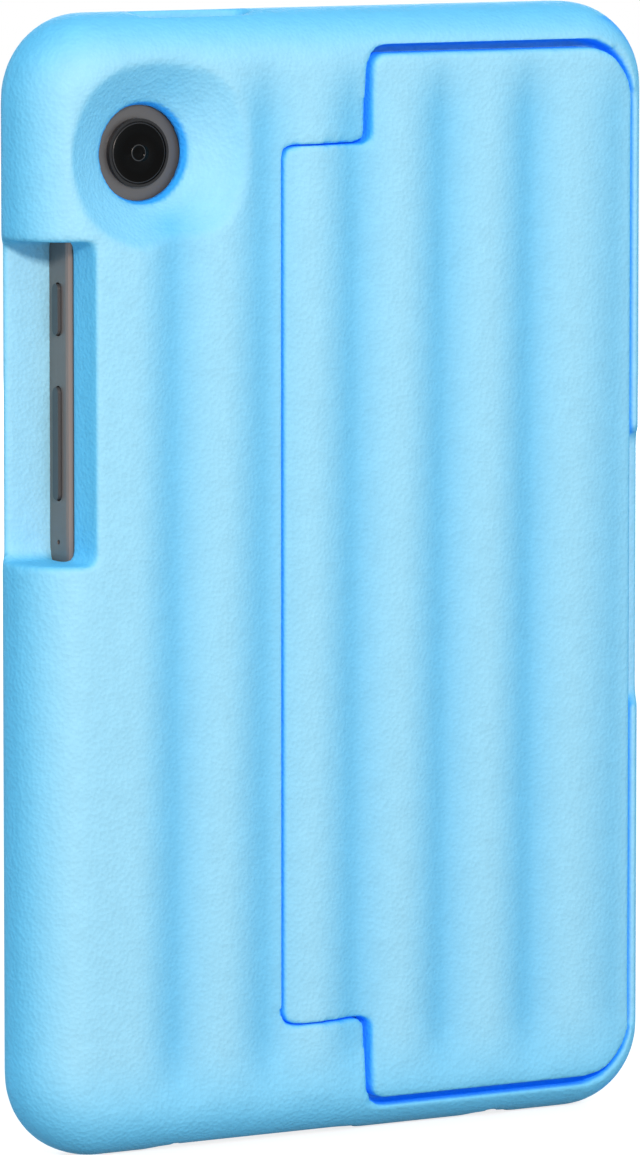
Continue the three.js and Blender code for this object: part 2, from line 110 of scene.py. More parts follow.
# Stand flap
FLAP_FLOOR = 2.8
FOLD_SKIN = 1.3
FOLD_SLIT = 0.6
FLAP_SEAM = 0.3
FLAP_GAP = 1.8
FREE_EDGE_GAP = 0.8
ROOT_WIDTH = 17.6
ROOT_HALF_HEIGHT = 90.7
ROOT_DROP = 1.5
ROOT_CORNER = 2.6
NECK = 2.9
NECK_GAP = 1.0
NECK_CORNER = 2.0
PANEL_WIDTH = 69.5
PANEL_HALF_HEIGHT = 110.05
PANEL_DROP = 0.9
INNER_CORNER = 4.8
OUTER_CORNER = 14.0
SCOOP_LENGTH = 61.0
SCOOP_DROP = 2.2
SCOOP_DEPTH = 7.2
SCOOP_SLOPE = 3.0

# Openings in the short edges: centre and width across
TOP_SLOT = (-33.7, 27.4)
PORT_SLOT = (-20.0, 51.0)
JACK_SLOT = (37.5, 11.0)
SLOT_INNER_DEPTH = 5.4
TOP_MOUTH = (-0.4, 7.0)
BOTTOM_MOUTH = (-4.2, 8.0)
SLOT_SLOPE = 2.0

# Places that follow
PLANE_Y = (BACK_REACH - FRONT_REACH) / 2
MIDDLE = COVER_HEIGHT / 2
TABLET_BACK = TABLET_THICKNESS / 2
TABLET_LEFT = -TABLET_WIDTH / 2
TABLET_BOTTOM = MIDDLE - TABLET_HEIGHT / 2
TABLET_TOP = MIDDLE + TABLET_HEIGHT / 2
BACK_START = FRONT_ROUNDING + SIDE_STRIP - FRONT_REACH
FLAP_BACK = TABLET_BACK + FLAP_FLOOR
BEYOND = 12.0


def place(across, depth, height):
    return Vector((across * MM, (PLANE_Y - depth) * MM, height * MM))


def smooth(value):
    value = min(max(value, 0.0), 1.0)
    return value * value * (3 - 2 * value)


# Loops and solids

def rounded_loop(half_width, half_height, radius, centre=(0.0, MIDDLE), steps=(1, 1, 6)):
    """Points round a rectangle with round corners, the same number for every size."""
    across_steps, up_steps, corner_steps = steps
    round_ = min(radius, half_width, half_height)
    points = []
    for quarter, sx, sz in ((0, 1, 1), (1, -1, 1), (2, -1, -1), (3, 1, -1)):
        cx = sx * (half_width - round_)
        cz = sz * (half_height - round_)
        for i in range(corner_steps + 1):
            angle = (quarter + i / corner_steps) * math.pi / 2
            points.append((centre[0] + cx + round_ * math.cos(angle),
                           centre[1] + cz + round_ * math.sin(angle)))
        along_x = quarter % 2 == 0
        side_steps = across_steps if along_x else up_steps
        reach = -2 * cx if along_x else -2 * cz
        start_x, start_z = points[-1]
        for i in range(1, side_steps):
            way = reach * i / side_steps
            points.append((start_x + way, start_z) if along_x else (start_x, start_z + way))
    return points


def at_depth(points, depth):
    return [(x, depth, z) for x, z in points]


def stack(name, loops):
    """A closed solid through a row of loops: the first loop is filled and drawn out ring by ring."""
    shape = bmesh.new()
    ring = [shape.verts.new(place(*point)) for point in loops[0]]
    first = shape.faces.new(ring)
    edges = [edge for edge in first.edges]
    for loop in loops[1:]:
        drawn = bmesh.ops.extrude_edge_only(shape, edges=edges)["geom"]
        edges = [item for item in drawn if isinstance(item, bmesh.types.BMEdge)]
        fresh = {item for item in drawn if isinstance(item, bmesh.types.BMVert)}
        following = []
        for vert in ring:
            follower = next(e.other_vert(vert) for e in vert.link_edges if e.other_vert(vert) in fresh)
            following.append(follower)
        for vert, point in zip(following, loop):
            vert.co = place(*point)
        ring = following
    shape.faces.new(ring)
    bmesh.ops.triangulate(shape, faces=[f for f in shape.faces if len(f.verts) > 4])
    bmesh.ops.recalc_face_normals(shape, faces=shape.faces)
    mesh = bpy.data.meshes.new(name)
    shape.to_mesh(mesh)
    shape.free()
    solid = bpy.data.objects.new(name, mesh)
    bpy.context.scene.collection.objects.link(solid)
    return solid


def settle(piece):
    """Applies a piece's modifiers and leaves its mesh as it then is."""
    graph = bpy.context.evaluated_depsgraph_get()
    graph.update()
    mesh = bpy.data.meshes.new_from_object(piece.evaluated_get(graph))
    piece.modifiers.clear()
    piece.data = mesh
    return piece


def combine(piece, cutter, operation="DIFFERENCE"):
    """Cuts one solid by another and removes the cutter."""
    modifier = piece.modifiers.new("combine", "BOOLEAN")
    modifier.operation = operation
    modifier.solver = "MANIFOLD"
    modifier.object = cutter
    settle(piece)
    bpy.data.objects.remove(cutter)
    return piece


def rib_share(x, z):
    """1 in the middle of a valley between two ribs, 0 on the crowns and beyond the ribs."""
    lobes = x / RIB_PITCH
    if lobes < -RIB_ROWS - 0.5 or x > RIM_START:
        return 0.0
    fade = smooth((RIB_FADE_END - abs(z - MIDDLE)) / (RIB_FADE_END - RIB_FADE_START))
    rise = math.sqrt(math.sin(math.pi * lobes) ** 2 + VALLEY_SOFTNESS ** 2) - VALLEY_SOFTNESS
    share = fade * (1 - rise / (math.sqrt(1 + VALLEY_SOFTNESS ** 2) - VALLEY_SOFTNESS))
    if lobes > RIB_ROWS + 0.5:
        share *= LAST_FALL
    if lobes > RIB_ROWS + 1:
        share = fade * LAST_FALL * smooth((RIM_START - x) / (RIM_START - (RIB_ROWS + 1) * RIB_PITCH))
    return share


# Mask for the painted shade and painted glow in the gaps and the camera's hole.
def gap_share(x, depth, z):
    """1 between the flap and its recess and in the camera's hole, and 0 at the back's surface."""
    if depth < TABLET_BACK + HOLE_WALL and math.hypot(x - CAMERA_X, z - CAMERA_Z) < HOLE_RADIUS + 1:
        return 1.0
    from_side = min(COVER_WIDTH / 2 - x, z, COVER_HEIGHT - z)
    if depth < FLAP_BACK or x < -ROOT_WIDTH - 1 or from_side < 3:
        return 0.0
    fall = max(1 - from_side / BACK_ROUNDING_ACROSS, 0.0)
    surface = BACK_START + (BACK_REACH - BACK_START) * math.sqrt(1 - fall ** 2)
    return smooth((surface - depth) / GAP_FADE)


def paint_skin_and_shade(piece, colours):
    """Stores the foam's colour: its own pale colour on the crowns and on faces turned to the painted
    light, and painted shade in the valleys, round the edges, near the top and foot and in the gaps.

    Its alpha is 1 on the walls of the gaps, where it switches on a painted glow.
    """
    skin = piece.data.attributes.new("skin", "FLOAT_COLOR", "POINT")
    crown = Vector(colours.foam)
    valley = Vector(colours.valley)
    edge = Vector(colours.edge)
    gap = Vector(colours.gap)
    toward = Vector(PAINTED_LIGHT_WAY).normalized()
    for vert, normal, value in zip(piece.data.vertices, piece.data.vertex_normals, skin.data):
        x, z = vert.co.x / MM, vert.co.z / MM
        depth = PLANE_Y - vert.co.y / MM
        on_back = smooth((depth - FLAP_BACK) / (BACK_REACH - FLAP_BACK) * 2)
        # Painted shade: the valleys between the ribs get the deeper valley colour.
        share = on_back * rib_share(x, z)
        way = normal.vector
        flat = abs(way.y)
        # Painted light and shade: faces turned towards the painted light's way stay pale, and faces
        # turned away take the edges' colour as painted shade.
        facing_light = Vector((way.x, -flat, way.z)).dot(toward) / -toward.y * (1 + flat) / 2
        # Painted shade: less painted light near the top and near the foot, so these strips come out
        # darker.
        near_top = smooth(1 - (COVER_HEIGHT - z) / TOP_STRIP)
        near_foot = smooth(1 - z / FOOT_STRIP)
        painted_light_share = min(max(facing_light, 0.0), 1.0) ** 1.5 * (1 - 0.5 * near_top) * (1 - 0.75 * near_foot)
        colour = edge.lerp(crown.lerp(valley, share), painted_light_share)
        # Painted shade and painted glow: the walls of the gaps and of the camera's hole get the deep
        # gap colour, and the alpha switches on the glow.
        gap_shade_and_glow = smooth((0.8 - flat) / 0.4) * gap_share(x, depth, z)
        value.color = (*colour.lerp(gap, gap_shade_and_glow), gap_shade_and_glow)


def soften(piece, voxel, passes):
    """Gives a moulded foam piece even small faces and soft edges."""
    remesh = piece.modifiers.new("even", "REMESH")
    remesh.mode = "VOXEL"
    remesh.voxel_size = voxel * MM
    remesh.use_smooth_shade = True
    settle(piece)
    shape = bmesh.new()
    shape.from_mesh(piece.data)
    for _ in range(passes):
        bmesh.ops.smooth_vert(shape, verts=shape.verts, factor=0.5,
                              use_axis_x=True, use_axis_y=True, use_axis_z=True)
    for face in shape.faces:
        face.smooth = True
    shape.to_mesh(piece.data)
    shape.free()


# Cover

def outer_form(name, sizes):
    """The whole padded form before anything is cut out of it."""
    steps = (70, 60, 10)
    half_height = (COVER_HEIGHT + BOTTOM_TRIM) / 2
    centre = (0.0, MIDDLE - BOTTOM_TRIM / 2)
    rib = sizes.rib_depth / MM

    def ring(inset, depth_at):
        radius = max(COVER_CORNER - inset, 1.0)
        loop = rounded_loop(COVER_WIDTH / 2 - inset, half_height - inset, radius, centre, steps)
        return [(x, depth_at(x, z), z) for x, z in loop]

    rings = []
    for i in range(9):
        angle = (1 - i / 8) * math.pi / 2
        depth = -FRONT_REACH + FRONT_ROUNDING * (1 - math.sin(angle))
        rings.append(ring(FRONT_ROUNDING * (1 - math.cos(angle)), lambda x, z, d=depth: d))
    for i in range(17):
        angle = i / 16 * math.pi / 2
        depth = BACK_START + (BACK_REACH - BACK_START) * math.sin(angle)
        rings.append(ring(BACK_ROUNDING_ACROSS * (1 - math.cos(angle)),
                          lambda x, z, d=depth: d - rib * rib_share(x, z)))
    line_width = RIB_PITCH / 18
    draw_in = 12.0
    flat_height = half_height - BACK_ROUNDING_ACROSS
    lines = int((COVER_WIDTH / 2 - BACK_ROUNDING_ACROSS) / line_width)
    for line in range(lines, 0, -1):
        inward = (lines + 1 - line) / lines
        half_width = (line - 0.5) * line_width
        loop = rounded_loop(half_width, flat_height - draw_in * inward, 1.0, centre, steps)
        rings.append([(x, BACK_REACH - rib * rib_share(x, z), z) for x, z in loop])
    form = stack(name, rings)
    below = rounded_loop(COVER_WIDTH, BEYOND / 2, 0.5, (0.0, -BEYOND / 2))
    floor = stack("floor_cut", [at_depth(below, d) for d in (-2 * BACK_REACH, 2 * BACK_REACH)])
    return combine(form, floor)


def tablet_pocket():
    loop = rounded_loop(TABLET_WIDTH / 2 + POCKET_CLEARANCE, TABLET_HEIGHT / 2 + POCKET_CLEARANCE,
                        TABLET_CORNER + POCKET_CLEARANCE)
    reach = TABLET_THICKNESS / 2 + POCKET_CLEARANCE
    return stack("pocket_cut", [at_depth(loop, -reach), at_depth(loop, reach)])


def screen_window():
    """The screen's window, flared towards the front."""
    def outline(grow):
        inset = LIP_OVERLAP - grow
        return rounded_loop(TABLET_WIDTH / 2 - inset, TABLET_HEIGHT / 2 - inset, TABLET_CORNER - inset)

    lip_inner = -TABLET_THICKNESS / 2 - POCKET_CLEARANCE
    flare_run = lip_inner + FRONT_REACH
    return stack("window_cut", [
        at_depth(outline(0), lip_inner + 1),
        at_depth(outline(0), lip_inner),
        at_depth(outline(LIP_FLARE * (1 + BEYOND / flare_run)), -FRONT_REACH - BEYOND),
    ])


def camera_dish():
    """Straight hole over the camera, opening into a wide shallow cone."""
    def ellipse(across, up):
        turns = [2 * math.pi * i / 72 for i in range(72)]
        return [(CAMERA_X + across * math.cos(t), CAMERA_Z + up * math.sin(t)) for t in turns]
    rim = TABLET_BACK + HOLE_WALL
    past = 1 + BEYOND / DISH_DEPTH
    return stack("dish_cut", [
        at_depth(ellipse(HOLE_RADIUS - HOLE_DRAFT, HOLE_RADIUS - HOLE_DRAFT), TABLET_BACK),
        at_depth(ellipse(HOLE_RADIUS, HOLE_RADIUS), rim),
        at_depth(ellipse(HOLE_RADIUS + (DISH_ACROSS - HOLE_RADIUS) * past,
                         HOLE_RADIUS + (DISH_UP - HOLE_RADIUS) * past), rim + DISH_DEPTH + BEYOND),
    ])


def key_cut_out():
    """Step cut out of the left edge, open to the side and to the back, with round inner corners."""
    inside = TABLET_LEFT + POCKET_CLEARANCE
    outside = -COVER_WIDTH / 2 - BEYOND
    half = (BACK_REACH + BEYOND + KEY_CUT_FLOOR) / 2
    loop = rounded_loop(half, (KEY_CUT_TOP - KEY_CUT_BOTTOM) / 2, KEY_CUT_CORNER,
                        (half - KEY_CUT_FLOOR, (KEY_CUT_TOP + KEY_CUT_BOTTOM) / 2), (2, 2, 8))
    return stack("key_cut", [[(x, depth, z) for depth, z in loop] for x in (inside, outside)])


def arc(points, centre_x, centre_z, radius, start, end, steps=8):
    for i in range(steps + 1):
        angle = (start + (end - start) * i / steps) * math.pi / 2
        points.append((centre_x + radius * math.cos(angle), centre_z + radius * math.sin(angle)))


def flap_outline(room):
    """Outline of the recess with room 0, and of the flap itself, drawn in all round, with room 1."""
    left = -ROOT_WIDTH + room * FLAP_SEAM
    neck = NECK + room * NECK_GAP
    right = PANEL_WIDTH - room * FREE_EDGE_GAP
    root = ROOT_HALF_HEIGHT - room * FLAP_SEAM
    panel = PANEL_HALF_HEIGHT - room * FLAP_GAP
    inner = INNER_CORNER - room * FLAP_GAP
    outer = OUTER_CORNER - room * FLAP_GAP
    root_low, root_high = MIDDLE - ROOT_DROP - root, MIDDLE - ROOT_DROP + root
    low, high = MIDDLE - PANEL_DROP - panel, MIDDLE - PANEL_DROP + panel
    points = []
    arc(points, left + ROOT_CORNER, root_low + ROOT_CORNER, ROOT_CORNER, 2, 3)
    arc(points, neck - NECK_CORNER, root_low - NECK_CORNER, NECK_CORNER, 1, 0)
    arc(points, neck + inner, low + inner, inner, 2, 3)
    arc(points, right - outer, low + outer, outer, 3, 4, 12)
    arc(points, right - outer, high - outer, outer, 0, 1, 12)
    arc(points, neck + inner, high - inner, inner, 1, 2)
    arc(points, neck - NECK_CORNER, root_high + NECK_CORNER, NECK_CORNER, 4, 3)
    arc(points, left + ROOT_CORNER, root_high - ROOT_CORNER, ROOT_CORNER, 1, 2)
    return points


def flap_prism(name, room, depth):
    outline = flap_outline(room)
    return stack(name, [at_depth(outline, depth), at_depth(outline, BACK_REACH + BEYOND)])


def finger_scoop():
    centre = MIDDLE - SCOOP_DROP
    floor = BACK_REACH - SCOOP_DEPTH
    inner = SCOOP_LENGTH / 2 - SCOOP_SLOPE
    outer = SCOOP_LENGTH / 2 + SCOOP_SLOPE
    return stack("scoop_cut", [
        [(x, floor, centre - inner), (x, floor, centre + inner),
         (x, BACK_REACH + BEYOND, centre + outer), (x, BACK_REACH + BEYOND, centre - outer)]
        for x in (PANEL_WIDTH - FREE_EDGE_GAP / 2, COVER_WIDTH / 2 + BEYOND)
    ])


def edge_funnel(slot, mouth_depths, from_z, to_z):
    """Funnel through a short edge: narrow at the tablet, wide at the outside."""
    centre_x, width = slot
    mouth_front, mouth_back = mouth_depths
    toward = math.copysign(1.0, to_z - from_z)
    steps = (6, 2, 8)
    inner_half = SLOT_INNER_DEPTH / 2
    inner = rounded_loop(width / 2 - SLOT_SLOPE, inner_half, inner_half, (centre_x, 0.0), steps)
    mouth_half = (mouth_back - mouth_front) / 2
    mouth = rounded_loop(width / 2, mouth_half, min(mouth_half, width / 2),
                         (centre_x, (mouth_back + mouth_front) / 2), steps)
    past = from_z + (to_z - from_z) * 1.1
    return stack("slot_cut", [
        [(x, depth, z) for x, depth in points]
        for points, z in ((inner, from_z - toward), (inner, from_z), (mouth, past))
    ])


def round_off_hole(cover):
    """Draws the walls of the camera's hole onto their true cone."""
    normals = [normal.vector.copy() for normal in cover.data.vertex_normals]
    for vert, normal in zip(cover.data.vertices, normals):
        across, up = vert.co.x / MM - CAMERA_X, vert.co.z / MM - CAMERA_Z
        depth = PLANE_Y - vert.co.y / MM
        reach = math.hypot(across, up)
        if reach > HOLE_RADIUS + 1.2 or depth > TABLET_BACK + HOLE_WALL or abs(normal.y) > 0.8:
            continue
        rise = max(depth - TABLET_BACK, 0.0) / HOLE_WALL
        stretch = (HOLE_RADIUS - HOLE_DRAFT * (1 - rise)) / reach
        vert.co = place(CAMERA_X + across * stretch, depth, CAMERA_Z + up * stretch)


def cover_body(sizes, colours):
    cover = outer_form("foam_cover", sizes)
    for cutter in (
        tablet_pocket(),
        screen_window(),
        camera_dish(),
        key_cut_out(),
        flap_prism("recess_cut", 0, FLAP_BACK),
        finger_scoop(),
        edge_funnel(TOP_SLOT, TOP_MOUTH, TABLET_TOP, COVER_HEIGHT),
        edge_funnel(PORT_SLOT, BOTTOM_MOUTH, TABLET_BOTTOM, 0.0),
        edge_funnel(JACK_SLOT, BOTTOM_MOUTH, TABLET_BOTTOM, 0.0),
    ):
        combine(cover, cutter)
    soften(cover, sizes.cover_grid / MM, 2)
    round_off_hole(cover)
    paint_skin_and_shade(cover, colours)
    return cover


def fold_slit():
    """Slit cut from inside along the fold, which leaves the outer skin whole."""
    half = FOLD_SLIT / 2
    top = BACK_REACH - RIB_DEPTH - FOLD_SKIN
    start = FLAP_BACK - 1
    outline = ((-half, start), (half, start), (half / 3, top), (-half / 3, top))
    return stack("slit_cut", [[(x, depth, z) for x, depth in outline]
                              for z in (-BEYOND, COVER_HEIGHT + BEYOND)])


def stand_flap(sizes, colours):
    flap = outer_form("stand_flap", sizes)
    combine(flap, flap_prism("flap_form", 1, FLAP_BACK + FLAP_SEAM), "INTERSECT")
    combine(flap, fold_slit())
    soften(flap, sizes.flap_grid / MM, 3)
    paint_skin_and_shade(flap, colours)
    return flap


def camera_lens():
    """Camera window turned from one profile: bevelled rim, flat glass, inner ring and a small lens."""
    top = TABLET_BACK + LENS_RISE
    radius = LENS_RADIUS
    profile = (
        (radius, top - 0.5, 0), (radius, top - 0.15, 0), (radius - 0.3, top, 0),
        (radius - 0.45, top - 0.1, 1), (1.7, top - 0.16, 1), (1.65, top - 0.1, 2), (1.5, top - 0.1, 2),
        (1.4, top - 0.2, 1), (1.1, top - 0.3, 1), (0.8, top - 0.2, 1), (0.45, top - 0.12, 1),
        (0.12, top - 0.1, 1),
    )
    turns = 72
    shape = bmesh.new()
    rings = []
    for reach, depth, _ in profile:
        angles = [2 * math.pi * i / turns for i in range(turns)]
        points = [(CAMERA_X + reach * math.cos(angle), depth, CAMERA_Z + reach * math.sin(angle))
                  for angle in angles]
        rings.append([shape.verts.new(place(*point)) for point in points])
    for (_, _, finish), outer, inner in zip(profile[1:], rings, rings[1:]):
        for i in range(turns):
            j = (i + 1) % turns
            face = shape.faces.new((outer[i], outer[j], inner[j], inner[i]))
            face.material_index = finish
            face.smooth = True
    for ring, finish in ((rings[0], 0), (rings[-1], 1)):
        shape.faces.new(ring).material_index = finish
    bmesh.ops.recalc_face_normals(shape, faces=shape.faces)
    mesh = bpy.data.meshes.new("camera_lens")
    shape.to_mesh(mesh)
    shape.free()
    lens = bpy.data.objects.new("camera_lens", mesh)
    bpy.context.scene.collection.objects.link(lens)
    return lens


# Materials

# Strength of the painted glow on the walls of the gaps, a faint blue emission that lights them from
# within.
PAINTED_GAP_GLOW = 0.13


def socket(node, name, value):
    node.inputs[name].default_value = value


def new_material(name, colour, roughness):
    material = bpy.data.materials.new(name)
    material.use_nodes = True
    shader = material.node_tree.nodes["Principled BSDF"]
    socket(shader, "Base Color", (*colour, 1.0))
    socket(shader, "Roughness", roughness)
    return material, material.node_tree, shader


def calculate(tree, operation, *values):
    """A math node on sockets or plain numbers, and what comes out of it."""
    node = tree.nodes.new("ShaderNodeMath")
    node.operation = operation
    for slot, value in zip(node.inputs, values):
        if isinstance(value, bpy.types.NodeSocket):
            tree.links.new(value, slot)
        else:
            slot.default_value = value
    return node.outputs["Value"]


def spread(tree, value, to_low, to_high, from_low=0.0, from_high=1.0):
    """The value brought from one range to another."""
    node = tree.nodes.new("ShaderNodeMapRange")
    socket(node, "From Min", from_low)
    socket(node, "From Max", from_high)
    socket(node, "To Min", to_low)
    socket(node, "To Max", to_high)
    tree.links.new(value, node.inputs["Value"])
    return node.outputs["Result"]


def roughen(tree, shader, height, strength, distance):
    """Bump on the shader's surface."""
    bump = tree.nodes.new("ShaderNodeBump")
    socket(bump, "Strength", strength)
    socket(bump, "Distance", distance)
    tree.links.new(height, bump.inputs["Height"])
    tree.links.new(bump.outputs["Normal"], shader.inputs["Normal"])


def noise(tree, scale, detail=3.0, roughness=0.5):
    """Noise in object space, with its scale in cells per metre."""
    coordinates = tree.nodes.new("ShaderNodeTexCoord")
    texture = tree.nodes.new("ShaderNodeTexNoise")
    socket(texture, "Scale", scale)
    socket(texture, "Detail", detail)
    socket(texture, "Roughness", roughness)
    tree.links.new(coordinates.outputs["Object"], texture.inputs["Vector"])
    return texture


def foam_material(colours):
    """Moulded foam, made once and shared by both foam pieces."""
    if "moulded_foam" in bpy.data.materials:
        return bpy.data.materials["moulded_foam"]
    base = tuple(colours.foam)
    material, tree, shader = new_material("moulded_foam", base, 0.6)
    nodes, links = tree.nodes, tree.links
    socket(shader, "Specular IOR Level", 0.12)
    # Pebbled skin: small cells, with a coarser swell under them
    coordinates = nodes.new("ShaderNodeTexCoord")
    pebbles = nodes.new("ShaderNodeTexVoronoi")
    socket(pebbles, "Scale", colours.grain_cells)
    links.new(coordinates.outputs["Object"], pebbles.inputs["Vector"])
    swell = noise(tree, colours.grain_cells * 0.4, 4.0, 0.6)
    grain = calculate(tree, "ADD", pebbles.outputs["Distance"], swell.outputs["Fac"])
    roughen(tree, shader, grain, 0.25, 0.0006)
    # The foam's colour is the stored one, with painted shade in the valleys, round the edges and in
    # the gaps, and a faint mottle all over
    skin = nodes.new("ShaderNodeAttribute")
    skin.attribute_name = "skin"
    mottle = noise(tree, 260.0, 4.0, 0.6)
    tint = nodes.new("ShaderNodeVectorMath")
    tint.operation = "SCALE"
    links.new(skin.outputs["Color"], tint.inputs[0])
    links.new(spread(tree, mottle.outputs["Fac"], 0.97, 1.03, 0.3, 0.7), tint.inputs["Scale"])
    links.new(tint.outputs["Vector"], shader.inputs["Base Color"])
    # Painted glow: a faint blue emission on the gaps' walls lightens the shade there
    gap_glow = calculate(tree, "MULTIPLY", skin.outputs["Alpha"], PAINTED_GAP_GLOW)
    links.new(gap_glow, shader.inputs["Emission Strength"])
    socket(shader, "Emission Color", (0.0, 0.22, 1.0, 1.0))
    material.cycles.emission_sampling = "NONE"
    return material


def plain_metal(name, colour, roughness, metallic, grain, gloss=0.5):
    """Metal or plastic with a fine even grain."""
    material, tree, shader = new_material(name, colour, roughness)
    socket(shader, "Metallic", metallic)
    socket(shader, "Specular IOR Level", gloss)
    roughen(tree, shader, noise(tree, grain, 2.0).outputs["Fac"], 0.08, 0.0001)
    return material


def graphite_material(colours):
    """Darker back and brighter, lengthwise brushed sides: the back's darker tone is painted shade."""
    material = plain_metal("anodised_graphite", tuple(colours.graphite), 0.45, 0.6, 5000.0)
    tree = material.node_tree
    nodes, links = tree.nodes, tree.links
    coordinates = nodes.new("ShaderNodeTexCoord")
    split = nodes.new("ShaderNodeSeparateXYZ")
    links.new(coordinates.outputs["Object"], split.inputs["Vector"])
    across = calculate(tree, "ABSOLUTE", split.outputs["X"])
    # Painted shade: the back keeps the darker colour and the sides take the lighter one.
    side = spread(tree, across, 0.0, 1.0, -TABLET_LEFT * MM - 1.2 * MM, -TABLET_LEFT * MM - 0.4 * MM)
    stretch = nodes.new("ShaderNodeMapping")
    socket(stretch, "Scale", (1.0, 1.0, 0.02))
    links.new(coordinates.outputs["Object"], stretch.inputs["Vector"])
    strokes = nodes.new("ShaderNodeTexNoise")
    socket(strokes, "Scale", 3000.0)
    links.new(stretch.outputs["Vector"], strokes.inputs["Vector"])
    brushed = spread(tree, strokes.outputs["Fac"], 0.9, 1.1)
    unshaded = nodes.new("ShaderNodeVectorMath")
    unshaded.operation = "SCALE"
    unshaded.inputs[0].default_value = tuple(colours.graphite_unshaded_side)
    links.new(brushed, unshaded.inputs["Scale"])
    tone = nodes.new("ShaderNodeMix")
    tone.data_type = "RGBA"
    tone.inputs["A"].default_value = (*colours.graphite, 1.0)
    links.new(unshaded.outputs["Vector"], tone.inputs["B"])
    links.new(side, tone.inputs["Factor"])
    links.new(tone.outputs["Result"], nodes["Principled BSDF"].inputs["Base Color"])
    return material


def dress(material, *nodes):
    for name in nodes:
        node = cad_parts[name]
        for slot in node.material_slots:
            slot.material = material


# Settings

class CoverSizes(bpy.types.PropertyGroup):
    rib_depth: bpy.props.FloatProperty(
        name="Rib depth", description="How far the valleys lie below the ridges",
        default=RIB_DEPTH * MM, min=0.0, max=4 * MM, unit="LENGTH")
    cover_grid: bpy.props.FloatProperty(
        name="Cover face size", description="Size of the small faces of the cover's mesh",
        default=1.05 * MM, min=0.5 * MM, max=3 * MM, unit="LENGTH")
    flap_grid: bpy.props.FloatProperty(
        name="Flap face size", description="Size of the small faces of the flap's mesh",
        default=0.75 * MM, min=0.4 * MM, max=3 * MM, unit="LENGTH")


class CoverColours(bpy.types.PropertyGroup):
    foam: bpy.props.FloatVectorProperty(
        name="Foam", description="Colour of the moulded foam",
        default=(0.375, 0.75, 0.94), size=3, subtype="COLOR", min=0.0, max=1.0)
    # Painted shade: the valleys' colour stands in for the shade that falls between the ribs.
    valley: bpy.props.FloatVectorProperty(
        name="Valleys", description="Colour of the foam in the valleys between the ribs",
        default=(0.2, 0.6, 0.88), size=3, subtype="COLOR", min=0.0, max=1.0)
    # Painted shade: the edges' colour stands in for the shade on foam turned away from the light.
    edge: bpy.props.FloatVectorProperty(
        name="Edges", description="Colour of the foam round the edges",
        default=(0.16, 0.66, 1.0), size=3, subtype="COLOR", min=0.0, max=1.0)
    # Painted shade: the gaps' colour stands in for the deep shade in the narrow gaps and the camera's
    # hole.
    gap: bpy.props.FloatVectorProperty(
        name="Gaps", description="Colour of the foam in the narrow gaps",
        default=(0.05, 0.45, 1.0), size=3, subtype="COLOR", min=0.0, max=1.0)
    grain_cells: bpy.props.FloatProperty(
        name="Grain", description="Pebbles in the foam's skin for each metre",
        default=1100.0, min=100.0, max=4000.0)
    # Painted shade: the sides' lighter colour against the back's darker one makes the back look
    # shaded.
    graphite_unshaded_side: bpy.props.FloatVectorProperty(
        name="Graphite sides", description="Colour of the bare metal on the tablet's sides",
        default=(0.245, 0.2, 0.183), size=3, subtype="COLOR", min=0.0, max=1.0)
    graphite: bpy.props.FloatVectorProperty(
        name="Graphite", description="Colour of the tablet's metal",
        default=(0.125, 0.123, 0.122), size=3, subtype="COLOR", min=0.0, max=1.0)


# Operators

class COVER_OT_foam_cover(bpy.types.Operator):
    """Model the cover's one-piece body"""
    bl_idname = "cover.foam_cover"
    bl_label = "Foam cover"

    def execute(self, context):
        cover = cover_body(context.scene.cover_sizes, context.scene.cover_colours)
        cover.data.materials.clear()
        cover.data.materials.append(foam_material(context.scene.cover_colours))
        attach(cover, "cover")
        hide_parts("case_body")
        return {"FINISHED"}


class COVER_OT_stand_flap(bpy.types.Operator):
    """Model the stand flap, whose root and panel are one skin across the fold"""
    bl_idname = "cover.stand_flap"
    bl_label = "Stand flap"

    def execute(self, context):
        flap = stand_flap(context.scene.cover_sizes, context.scene.cover_colours)
        flap.data.materials.clear()
        flap.data.materials.append(foam_material(context.scene.cover_colours))
        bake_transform(flap)
        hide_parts("stand_root", "stand_panel")
        return {"FINISHED"}


class COVER_OT_tablet(bpy.types.Operator):
    """Finish the tablet's housing, keys, glass and sockets"""
    bl_idname = "cover.tablet"
    bl_label = "Tablet finishes"

    def execute(self, context):
        dress(graphite_material(context.scene.cover_colours), "tablet_housing")
        dress(plain_metal("key_graphite", (0.1, 0.1, 0.102), 0.45, 0.4, 5000.0),
              "power_key", "volume_key")
        dress(plain_metal("camera_rim", (0.012, 0.012, 0.013), 0.3, 0.0, 5000.0, 0.3), "camera_ring")
        dress(plain_metal("black_glass", (0.003, 0.003, 0.004), 0.08, 0.0, 800.0), "front_glass")
        lens = camera_lens()
        for name, colour, roughness, grain, gloss in (
            ("lens_rim", (0.02, 0.02, 0.021), 0.3, 4000.0, 0.3),
            ("lens_cover", (0.0015, 0.0015, 0.0015), 0.08, 800.0, 0.06),
            ("lens_ring", (0.02, 0.02, 0.021), 0.35, 4000.0, 0.4),
        ):
            lens.data.materials.append(plain_metal(name, colour, roughness, 0.0, grain, gloss))
        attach(lens, "cover")
        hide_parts("camera_glass")
        dress(plain_metal("dark_plastic", (0.02, 0.02, 0.022), 0.55, 0.0, 3000.0),
              "display_panel", "camera_module", "headphone_jack", "battery", "top_speaker",
              "bottom_speaker", "front_camera")
        dress(plain_metal("plated_steel", (0.5, 0.5, 0.52), 0.3, 1.0, 3000.0),
              "usb_c_port", "shield_can")
        dress(plain_metal("board_green", (0.02, 0.12, 0.06), 0.5, 0.0, 3000.0),
              "main_board", "port_board")
        return {"FINISHED"}


